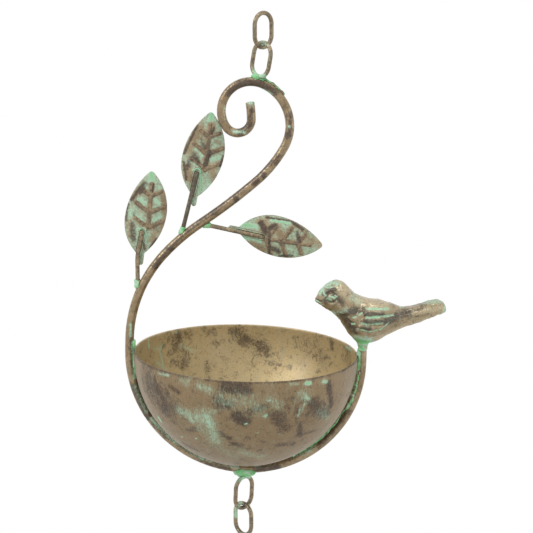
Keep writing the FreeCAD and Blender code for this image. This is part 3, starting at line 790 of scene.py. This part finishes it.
class RAINCHAIN_OT_rod(bpy.types.Operator):
    """Finish the scroll rod"""
    bl_idname = "rain_chain.rod"
    bl_label = "Scroll rod"

    def execute(self, context):
        relief = context.scene.rain_chain_relief
        mesh = fine_copy("scroll_rod", relief.rod_grain, ROD_ROUNDS)
        points, normals = read_points(mesh)
        flat = points[:, (0, 2)]
        rise = lumps(points, ROD_LUMP) * relief.paint_lumps / MM
        write_points(mesh, points + normals * rise[:, None])
        put_strokes(
            mesh,
            verdigris=stroke_cover(flat, ROD_GREEN),
            tarnish=np.maximum(stroke_cover(flat, ROD_DARK), 0.2),
            # Painted highlight: paler where the rod faces up.
            rubbed=np.clip(normals[:, 2] - 0.2, 0.0, 1.0) * 0.4,
        )
        colours = context.scene.rain_chain_paint
        material = weathered_paint(
            "bar_paint", colours.bronze, colours.bronze_light, gloss=0.2, metallic=0.4, grain=0.5)
        hang("scroll_rod", mesh, material)
        return {"FINISHED"}


class RAINCHAIN_OT_links(bpy.types.Operator):
    """Finish the four chain links"""
    bl_idname = "rain_chain.links"
    bl_label = "Chain links"

    def execute(self, context):
        relief = context.scene.rain_chain_relief
        colours = context.scene.rain_chain_paint
        material = weathered_paint("link_paint", colours.bronze, colours.bronze_light, gloss=0.30)
        for node in ("top_loose_link", "top_welded_link", "bottom_welded_link", "bottom_loose_link"):
            mesh = fine_copy(node, relief.wire_grain, PIECE_ROUNDS)
            points, normals = brush_on(mesh, relief.paint_lumps)
            put_strokes(
                mesh,
                tarnish=np.full(len(points), 0.4),
                verdigris=np.maximum(stroke_cover(points[:, (0, 2)], LINK_GREEN), 0.12),
                # Painted highlight: paler where a link faces up.
                rubbed=np.clip(normals[:, 2], 0.0, 1.0) * 0.4,
            )
            hang(node, mesh, material)
        return {"FINISHED"}


class RAINCHAIN_OT_bowl(bpy.types.Operator):
    """Spin the bowl and paint it inside and out"""
    bl_idname = "rain_chain.bowl"
    bl_label = "Bowl"

    def profile(self):
        """Radius, height and side (1 outside, 0 inside) from the outer pole over the rim to the inner."""
        rows = []
        for step in range(1, BOWL_FALL_STEPS + 1):
            fall = math.radians(90.0 * (1.0 - step / BOWL_FALL_STEPS))
            rows.append((BOWL_RADIUS * math.cos(fall), -BOWL_LIP - BOWL_RADIUS * math.sin(fall), 1.0))
        half = BOWL_WALL / 2
        for step in range(BOWL_EDGE_STEPS + 1):
            turn = math.pi * step / BOWL_EDGE_STEPS
            side = 1.0 if turn < math.pi / 2 else 0.0
            rows.append((BOWL_RADIUS - half + half * math.cos(turn), -half + half * math.sin(turn), side))
        inner = BOWL_RADIUS - BOWL_WALL
        for step in range(BOWL_FALL_STEPS):
            fall = math.radians(90.0 * step / BOWL_FALL_STEPS)
            rows.append((inner * math.cos(fall), -BOWL_LIP - inner * math.sin(fall), 0.0))
        return rows

    def execute(self, context):
        relief = context.scene.rain_chain_relief
        colours = context.scene.rain_chain_paint
        rows = self.profile()
        steps = BOWL_ROUND_STEPS
        around = [2 * math.pi * step / steps for step in range(steps)]
        points = [(r * math.sin(a), -r * math.cos(a), z) for r, z, side in rows for a in around]
        outside = np.array([side for r, z, side in rows for a in around] + [1.0, 0.0])
        inner = BOWL_RADIUS - BOWL_WALL
        points += [(0.0, 0.0, -BOWL_LIP - BOWL_RADIUS), (0.0, 0.0, -BOWL_LIP - inner)]
        faces = []
        for row in range(len(rows) - 1):
            for step in range(steps):
                after = (step + 1) % steps
                base = row * steps
                faces.append((base + step, base + after, base + steps + after, base + steps + step))
        last = (len(rows) - 1) * steps
        for step in range(steps):
            after = (step + 1) % steps
            faces.append((len(points) - 2, after, step))
            faces.append((len(points) - 1, last + step, last + after))
        points = np.array(points)

        heart = np.array((0.0, 0.0, -BOWL_LIP))
        out = points - heart
        distance = np.linalg.norm(out, axis=1)
        fall = np.degrees(np.arcsin(np.clip(-out[:, 2] / distance, -1.0, 1.0)))
        turn = np.degrees(np.arctan2(out[:, 0], -out[:, 1]))
        dents = lumps(out / distance[:, None] * BOWL_RADIUS, BOWL_LUMP) * relief.bowl_dents / MM
        points = points + out / distance[:, None] * dents[:, None]
        spun = Matrix.Translation(Vector(BOWL_MOUTH)) @ Matrix.Rotation(math.radians(LEAN), 4, "Y")
        matrix = np.array(spun)
        points = points @ matrix[:3, :3].T + matrix[:3, 3]

        mesh = bpy.data.meshes.new("bowl")
        mesh.from_pydata((points * MM).tolist(), [], faces)
        narrow = np.cos(np.radians(np.clip(fall, 0.0, 80.0)))

        def cover(strokes, turned):
            """Strokes in degrees, kept as wide near the bottom as they are near the mouth."""
            total = np.zeros(len(points))
            for stroke in strokes:
                middle = (stroke[0] + stroke[2]) / 2
                away = (turned - middle + 180.0) % 360.0 - 180.0
                half = (stroke[2] - stroke[0]) / 2
                flat = np.stack((away * narrow, fall), axis=1)
                local = (-half * narrow.mean(), stroke[1], half * narrow.mean(), *stroke[3:])
                total = np.maximum(total, stroke_cover(flat, (local,)))
            return total

        near = np.abs(turn) < BOWL_NEAR_TURN
        front = np.where(near, turn, 1000.0)
        back = np.where(near, 1000.0, (turn - BOWL_FAR_TURN + 180.0) % 360.0 - 180.0)
        rim = np.exp(-(np.minimum(fall, 0.0) + 1.2) ** 2) * (fall < 0.2)
        green = np.maximum(cover(BOWL_OUT_GREEN, front) * near, cover(BOWL_OUT_GREEN, back) * ~near)
        dark = np.maximum(cover(BOWL_OUT_DARK, front) * near, cover(BOWL_OUT_DARK, back) * ~near)
        within = turn % 360.0
        marks = dark * outside + cover(BOWL_IN_DARK, within) * (1.0 - outside) * 0.85
        put_strokes(
            mesh,
            verdigris=green * outside + cover(BOWL_IN_GREEN, within) * (1.0 - outside),
            # Darker along the near half of the lip, paler along the far half.
            tarnish=np.maximum(marks, 0.14) + rim * near * 0.4,
            # Painted highlights inside the bowl.
            rubbed=np.maximum(cover(BOWL_IN_HIGHLIGHTS, within) * (1.0 - outside), rim * ~near),
            golden=1.0 - outside,
        )
        material = weathered_paint(
            "bowl_paint", colours.bronze_dark, colours.bronze, 1000.0, 90.0, (1.0, 1.0, 0.28),
            gloss=0.40, metallic=0.5, dust=0.45, inside=colours.bowl_gold)
        hang("bowl", mesh, material)
        return {"FINISHED"}


class RAINCHAIN_OT_bird(bpy.types.Operator):
    """Finish the cast bird with its plumage lines"""
    bl_idname = "rain_chain.bird"
    bl_label = "Bird"

    def execute(self, context):
        relief = context.scene.rain_chain_relief
        colours = context.scene.rain_chain_paint
        mesh = fine_copy("bird", relief.bird_grain, PIECE_ROUNDS)
        points, normals = read_points(mesh)
        own = into_place(points, BIRD_SEAT, LEAN)
        flat = own[:, (0, 2)]
        feathers = stroke_cover(flat, BIRD_FEATHER_LINES)
        cuts = np.maximum(feathers, stroke_cover(flat, BIRD_SHARP_LINES))
        from_eye = np.linalg.norm(flat - np.array(BIRD_EYE), axis=1)
        rings = (EYE_SOCKET, EYE_BROW)
        socket, brow = (np.exp(-((from_eye - radius) / half) ** 2) for radius, half in rings)
        brow = brow * np.clip(flat[:, 1] - BIRD_EYE[1], 0.0, 1.0)
        plumage = lumps(points, PLUME_LUMP) * 0.35 + lumps(points, BODY_LUMP) * 0.5
        rise = (brow * 0.6 - socket - cuts + plumage) * relief.plume_groove / MM
        points = points + normals * rise[:, None]
        broken = feathers ** 1.6 * (0.9 + 0.5 * lumps(points, CHIP_LUMP))
        green = np.maximum(broken, stroke_cover(flat, BIRD_GREEN))
        dark = np.maximum(stroke_cover(flat, BIRD_DARK_AND_SHADE), socket * 0.9)
        write_points(mesh, points)
        put_strokes(
            mesh,
            verdigris=np.maximum(green, 0.15),
            tarnish=np.maximum(dark, 0.18),
            # Painted highlights and reflection on the bird.
            rubbed=np.maximum(stroke_cover(flat, BIRD_HIGHLIGHTS_AND_REFLECTION), 0.1),
        )
        material = weathered_paint(
            "bird_paint", colours.bronze_dark, colours.bronze_light,
            gloss=0.22, metallic=0.3, dust=0.1, grain=0.2)
        hang("bird", mesh, material)
        return {"FINISHED"}


class RAINCHAIN_OT_leaves(bpy.types.Operator):
    """Finish the three pressed leaves"""
    bl_idname = "rain_chain.leaves"
    bl_label = "Leaves"

    def veins(self):
        """Every vein as a stroke, full strength."""
        (foot_x, foot_z), (tip_x, tip_z) = MIDRIB
        strokes = [(foot_x, foot_z, tip_x, tip_z, 0.8, 1.0)]
        angle = math.radians(SIDE_VEIN_ANGLE)
        for height, length in SIDE_VEINS:
            root = foot_x + (tip_x - foot_x) * (height - foot_z) / (tip_z - foot_z)
            for side in (-1, 1):
                end = (root + side * length * math.sin(angle), height + length * math.cos(angle))
                strokes.append((root, height, *end, 0.8, 1.0))
        return strokes

    def execute(self, context):
        relief = context.scene.rain_chain_relief
        colours = context.scene.rain_chain_paint
        material = weathered_paint(
            "leaf_paint", colours.bronze, colours.bronze_light, gloss=0.40, metallic=0.25)
        veins = self.veins()
        for name, (place, angle) in LEAF_PLACES.items():
            mesh = fine_copy(name + "_leaf", relief.leaf_grain, PIECE_ROUNDS)
            points, normals = read_points(mesh)
            flat = into_place(points, place, angle)[:, (0, 2)]
            ridge = stroke_cover(flat, veins)
            behind = np.clip(normals[:, 1] * 2.0 - 0.6, 0.0, 1.0)
            rise = lumps(points, LEAF_LUMP) * relief.paint_lumps - ridge * behind * relief.vein_groove
            write_points(mesh, points + normals * (rise / MM)[:, None])
            green = np.maximum(stroke_cover(flat, LEAF_GREEN[name]), 0.57)
            # Dark along the blade's edges, and painted shade where the cupped blade turns sideways.
            edge = np.clip(1.4 - 1.6 * np.abs(normals[:, 1]), 0.0, 1.0)
            dark = np.maximum(stroke_cover(flat, LEAF_DARK[name]), edge * 1.1)
            rubbed_off = stroke_cover(flat, LEAF_BARE[name]) * 0.5 + ridge * 1.2 + dark * 0.42
            put_strokes(
                mesh,
                verdigris=green - rubbed_off,
                tarnish=np.maximum(dark, 0.16 + 0.26 * ridge),
                rubbed=ridge * 0.1,
            )
            hang(name + "_leaf", mesh, material)
        return {"FINISHED"}


class RAINCHAIN_OT_stems(bpy.types.Operator):
    """Finish the three leaf stems"""
    bl_idname = "rain_chain.stems"
    bl_label = "Leaf stems"

    def execute(self, context):
        relief = context.scene.rain_chain_relief
        colours = context.scene.rain_chain_paint
        material = weathered_paint("stem_paint", colours.bronze, colours.bronze_light)
        for name in LEAF_PLACES:
            node = name + "_leaf_stem"
            mesh = fine_copy(node, relief.wire_grain, PIECE_ROUNDS)
            points, normals = brush_on(mesh, relief.paint_lumps)
            put_strokes(
                mesh,
                tarnish=np.full(len(points), 0.85 if name == "middle" else 0.4),
                verdigris=np.full(len(points), 0.12),
                # Painted highlight: paler where a stem faces the front.
                rubbed=np.clip(-normals[:, 1] - 0.4, 0.0, 1.0) * 0.3,
            )
            hang(node, mesh, material)
        return {"FINISHED"}


class RAINCHAIN_OT_welds(bpy.types.Operator):
    """Finish the lumpy weld beads"""
    bl_idname = "rain_chain.welds"
    bl_label = "Weld beads"

    def execute(self, context):
        relief = context.scene.rain_chain_relief
        material = weld_paint()
        beads = [node for node in frame["nodes"] if node.endswith("_weld")]
        for node in sorted(beads):
            mesh = fine_copy(node, relief.wire_grain, BEAD_ROUNDS)
            points, normals = read_points(mesh)
            rise = lumps(points, BEAD_LUMP) * relief.bead_lumps / MM
            write_points(mesh, points + normals * rise[:, None])
            put_strokes(mesh, bare=stroke_cover(points[:, (0, 2)], BARE_BEADS))
            hang(node, mesh, material)
        return {"FINISHED"}


class RAINCHAIN_OT_stage(bpy.types.Operator):
    """Set up the floor, the room, the lamps and the camera"""
    bl_idname = "rain_chain.stage"
    bl_label = "Stage"

    def floor(self, context, stage):
        """A pale round floor under the section that fades out at its edge."""
        recipe = Recipe(bpy.data.materials.new("floor"))
        colour = context.scene.rain_chain_paint.floor
        place = recipe.place()
        reach = recipe.step("ShaderNodeVectorMath", {0: place}, "Value", operation="LENGTH")
        fade = recipe.band(reach, *FLOOR_FADE)
        plain = recipe.step("ShaderNodeBsdfDiffuse", {"Color": (*colour, 1.0)})
        clear = recipe.step("ShaderNodeBsdfTransparent", {})
        both = recipe.step("ShaderNodeMixShader", {0: fade, 1: plain, 2: clear})
        recipe.step("ShaderNodeOutputMaterial", {"Surface": both})
        mesh = bpy.data.meshes.new("floor")
        turns = [2 * math.pi * step / FLOOR_STEPS for step in range(FLOOR_STEPS)]
        ring = [(FLOOR_RADIUS * math.cos(turn), FLOOR_RADIUS * math.sin(turn), 0.0) for turn in turns]
        mesh.from_pydata(ring, [], [tuple(range(FLOOR_STEPS))])
        mesh.materials.append(recipe.owner)
        floor = bpy.data.objects.new("floor", mesh)
        floor.location = (0.0, 0.0, cad_low.z - stage.floor_drop)
        context.scene.collection.objects.link(floor)

    def room(self, context, stage):
        """Even light from all round; the eye and reflections see plain white."""
        world = bpy.data.worlds.new("room")
        context.scene.world = world
        recipe = Recipe(world)
        seen = 0.0
        for ray in ("Is Camera Ray", "Is Glossy Ray", "Is Transmission Ray"):
            rays = recipe.step("ShaderNodeLightPath", {}, ray)
            seen = recipe.step("ShaderNodeMath", {0: seen, 1: rays}, operation="MAXIMUM")
        strength = recipe.step("ShaderNodeMapRange", {"Value": seen, 3: stage.room_level, 4: 1.0})
        light = recipe.step("ShaderNodeBackground", {"Color": (1.0, 1.0, 1.0, 1.0), "Strength": strength})
        recipe.step("ShaderNodeOutputWorld", {"Surface": light})

    def lamp(self, context, name, towards, distance, size, power):
        """A soft lamp that looks at the bowl from a direction."""
        data = bpy.data.lights.new(name, "AREA")
        data.shape = "DISK"
        data.size = size
        data.energy = power
        lamp = bpy.data.objects.new(name, data)
        direction = Vector(towards).normalized()
        lamp.location = Vector(BOWL_MOUTH) * MM + direction * distance
        lamp.rotation_mode = "QUATERNION"
        lamp.rotation_quaternion = direction.to_track_quat("Z", "Y")
        context.scene.collection.objects.link(lamp)

    def execute(self, context):
        stage = context.scene.rain_chain_stage
        self.floor(context, stage)
        self.room(context, stage)
        for name, (towards, distance, size) in LAMPS.items():
            self.lamp(context, name, towards, distance, size, getattr(stage, name + "_power"))
        data = bpy.data.cameras.new("camera")
        data.lens = stage.camera_lens
        data.sensor_width = SENSOR_WIDTH
        camera = bpy.data.objects.new("camera", data)
        camera.location = stage.camera_place
        camera.rotation_euler = (math.pi / 2 - stage.camera_dip, 0.0, 0.0)
        context.scene.collection.objects.link(camera)
        context.scene.camera = camera
        context.scene.view_settings.view_transform = "Standard"
        return {"FINISHED"}


GROUPS = {
    "rain_chain_paint": RainChainPaint,
    "rain_chain_relief": RainChainRelief,
    "rain_chain_stage": RainChainStage,
}

OPERATORS = (
    RAINCHAIN_OT_stage,
    RAINCHAIN_OT_rod,
    RAINCHAIN_OT_links,
    RAINCHAIN_OT_bowl,
    RAINCHAIN_OT_bird,
    RAINCHAIN_OT_leaves,
    RAINCHAIN_OT_stems,
    RAINCHAIN_OT_welds,
)


class RAINCHAIN_PT_panel(bpy.types.Panel):
    """Pieces and colours of the rain chain section"""
    bl_idname = "RAINCHAIN_PT_panel"
    bl_label = "Rain chain"
    bl_space_type = "VIEW_3D"
    bl_region_type = "UI"
    bl_category = "Rain chain"

    def draw(self, context):
        for operator in OPERATORS:
            self.layout.operator(operator.bl_idname)
        for kind, group in GROUPS.items():
            box = self.layout.box()
            for name in group.__annotations__:
                box.prop(getattr(context.scene, kind), name)


def register():
    for name, group in GROUPS.items():
        bpy.utils.register_class(group)
        setattr(bpy.types.Scene, name, PointerProperty(type=group))
    for kind in (*OPERATORS, RAINCHAIN_PT_panel):
        bpy.utils.register_class(kind)


def unregister():
    for kind in (RAINCHAIN_PT_panel, *reversed(OPERATORS)):
        bpy.utils.unregister_class(kind)
    for name, group in GROUPS.items():
        delattr(bpy.types.Scene, name)
        bpy.utils.unregister_class(group)


def main():
    """Make every piece."""
    register()
    bpy.ops.rain_chain.stage()
    bpy.ops.rain_chain.rod()
    bpy.ops.rain_chain.links()
    bpy.ops.rain_chain.bowl()
    bpy.ops.rain_chain.bird()
    bpy.ops.rain_chain.leaves()
    bpy.ops.rain_chain.stems()
    bpy.ops.rain_chain.welds()


if __name__ == "__main__":
    main()
